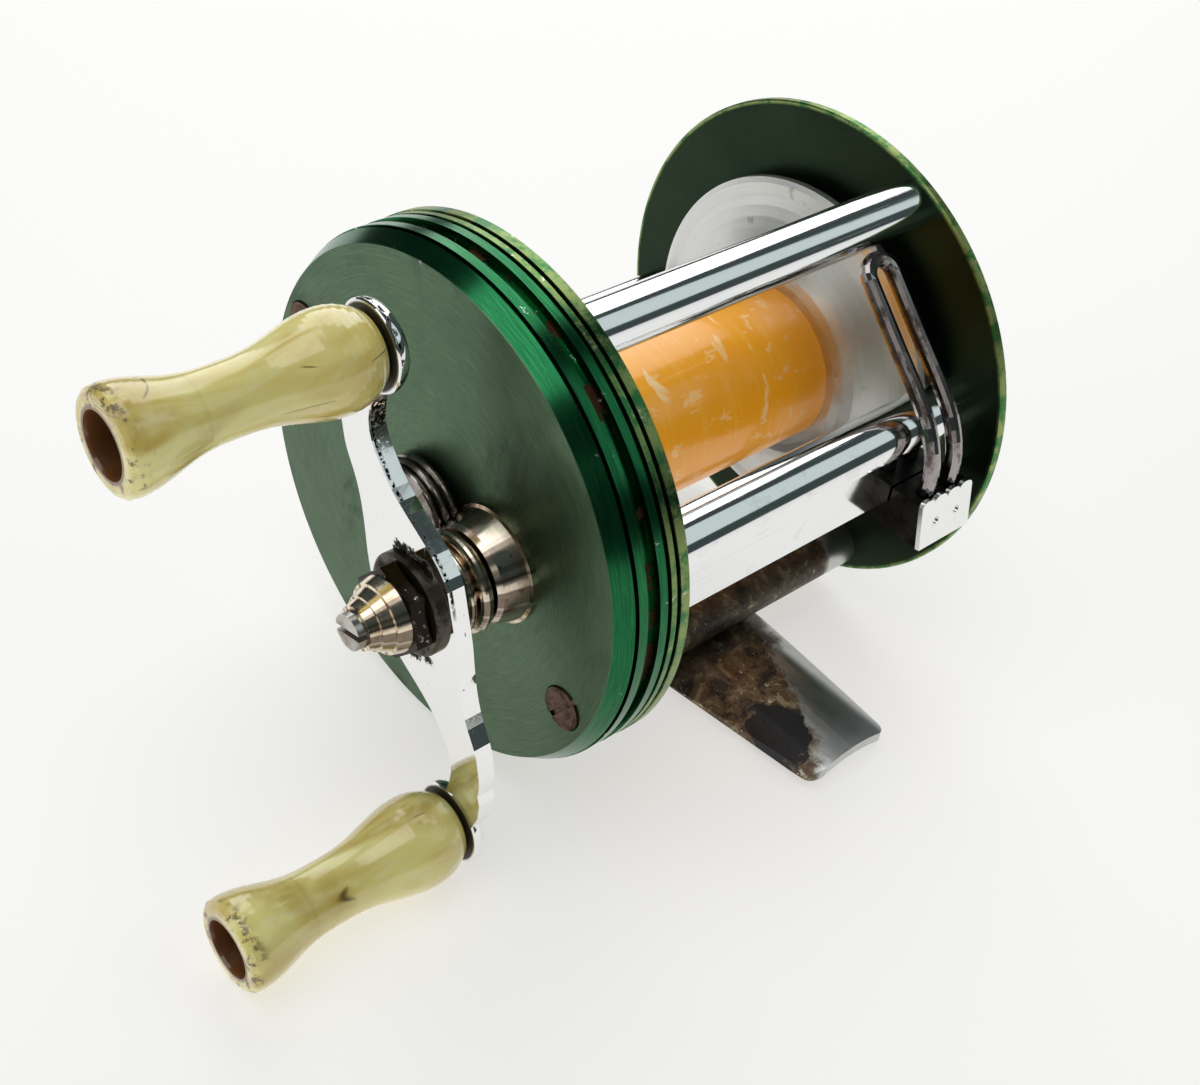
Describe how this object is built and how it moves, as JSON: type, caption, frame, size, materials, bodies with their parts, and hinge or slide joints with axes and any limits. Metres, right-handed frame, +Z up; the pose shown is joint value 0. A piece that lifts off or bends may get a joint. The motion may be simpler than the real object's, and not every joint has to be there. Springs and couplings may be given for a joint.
{
  "type": "baitcasting fishing reel",
  "caption": "Round level-wind baitcasting reel: side plates on pillars, spool, geared double handle with grips, sliding line guide and a foot for the rod.",
  "frame": {"origin": "middle of the foot's seat: below the spool axis, halfway along the foot and across its width, level with the foot's flat lower edges", "axes": "+X along the spool axis from the handle towards the tail plate, -Y the way the line leaves, +Z up from the rod"},
  "size_m": [0.0927, 0.066, 0.055],
  "materials": {
    "green_anodised": "dark green anodised, circular brushing, worn edges",
    "green_ring": "olive green anodised, worn to bare metal at the rim",
    "green_tail": "dark green anodised, satin",
    "nickel": "nickel plated, tarnished",
    "dark_nickel": "nickel plated, dulled",
    "chrome": "polished, lightly scratched",
    "rusty_chrome": "plated, mottled with rust",
    "channel_chrome": "polished, scratched along its length",
    "rusty_foot": "plating worn through, brown and black mottling",
    "arm_chrome": "polished, fine scratches, grime beside the nut",
    "plate_chrome": "polished",
    "wire_nickel": "tarnished",
    "satin_flange": "satin",
    "orange_arbor": "glossy, streaked",
    "marbled_plastic": "marbled yellow-olive, crazed",
    "gear_plastic": "plain",
    "brass": "plain",
    "screw_steel": "dulled",
    "dark_steel": "blackened",
    "shim_fibre": "plain"
  },
  "bodies": {
    "frame": {"head_cap": "green_anodised", "head_ring": "green_ring", "head_screws": "screw_steel", "shaft_boss": "nickel", "tension_boss": "nickel", "gear_bridge": "brass", "bridge_screws": "screw_steel", "idler_stud": "screw_steel", "front_pillar": "chrome", "rear_pillar": "chrome", "lower_front_pillar": "rusty_chrome", "lower_rear_pillar": "rusty_chrome", "foot": "rusty_foot", "foot_rivets": "rusty_foot", "tail_plate": "green_tail", "tail_cover": "green_anodised", "pillar_screws": "screw_steel", "cover_screws": "screw_steel", "tail_bushing": "brass", "tail_bearing_cap": "nickel", "click_spring": "screw_steel", "levelwind_housing": "channel_chrome", "worm_bushings": "brass"},
    "tension_knob": {"tension_cap": "dark_nickel", "tension_shim": "shim_fibre"},
    "spool": {"spool_shaft": "screw_steel", "spool_arbor": "orange_arbor", "head_flange": "satin_flange", "tail_flange": "satin_flange", "pinion": "brass", "click_gear": "brass"},
    "crank": {"handle_shaft": "screw_steel", "main_gear": "brass", "drive_gear": "brass", "spacer_ring": "nickel", "shaft_washer": "dark_nickel", "handle_arm": "arm_chrome", "hub_washer": "dark_steel", "handle_nut": "nickel", "nut_screw": "screw_steel", "upper_knob_stud": "dark_steel", "lower_knob_stud": "dark_steel"},
    "upper_grip": {"upper_knob": "marbled_plastic"},
    "lower_grip": {"lower_knob": "marbled_plastic"},
    "idler": {"idler_gear": "gear_plastic"},
    "worm": {"worm_shaft": "brass", "worm_gear": "gear_plastic"},
    "guide": {"carriage": "dark_steel", "guide_plate": "plate_chrome", "line_guide": "wire_nickel", "pawl_cap": "nickel"},
    "guide_pawl": {"pawl": "brass"},
    "click": {"click_button": "dark_nickel", "click_pawl": "brass"}
  },
  "joints": [
    {"name": "handle_spin", "type": "hinge", "parent": "frame", "child": "crank", "pos_m": [-0.03135, -0.00975, 0.0266], "axis": [1, 0, 0], "continuous": true},
    {"name": "spool_spin", "type": "hinge", "parent": "frame", "child": "spool", "pos_m": [0, 0, 0.026], "axis": [1, 0, 0], "continuous": true},
    {"name": "idler_spin", "type": "hinge", "parent": "frame", "child": "idler", "pos_m": [-0.02635, -0.01416, 0.02994], "axis": [1, 0, 0], "continuous": true},
    {"name": "worm_spin", "type": "hinge", "parent": "frame", "child": "worm", "pos_m": [0, -0.0203, 0.03073], "axis": [1, 0, 0], "continuous": true},
    {"name": "guide_slide", "type": "slide", "parent": "frame", "child": "guide", "axis": [1, 0, 0], "range_m": [-0.028, 0]},
    {"name": "pawl_swivel", "type": "hinge", "parent": "guide", "child": "guide_pawl", "pos_m": [0.01255, -0.0203, 0.026], "axis": [0, 0, 1], "range_deg": [-25, 25]},
    {"name": "upper_knob_spin", "type": "hinge", "parent": "crank", "child": "upper_grip", "pos_m": [-0.05135, -0.00233, 0.04942], "axis": [1, 0, 0], "continuous": true},
    {"name": "lower_knob_spin", "type": "hinge", "parent": "crank", "child": "lower_grip", "pos_m": [-0.05135, -0.01717, 0.00378], "axis": [1, 0, 0], "continuous": true},
    {"name": "click_slide", "type": "slide", "parent": "frame", "child": "click", "axis": [0, 0, 1], "range_m": [0, 0.003]},
    {"name": "tension_turn", "type": "hinge", "parent": "frame", "child": "tension_knob", "pos_m": [-0.03335, 0, 0.026], "axis": [1, 0, 0], "range_deg": [-90, 90]}
  ],
  "couplings": [
    {"joint": "spool_spin", "follows": "handle_spin", "ratio": -4},
    {"joint": "idler_spin", "follows": "handle_spin", "ratio": -0.88889},
    {"joint": "worm_spin", "follows": "handle_spin", "ratio": 0.8}
  ]
}
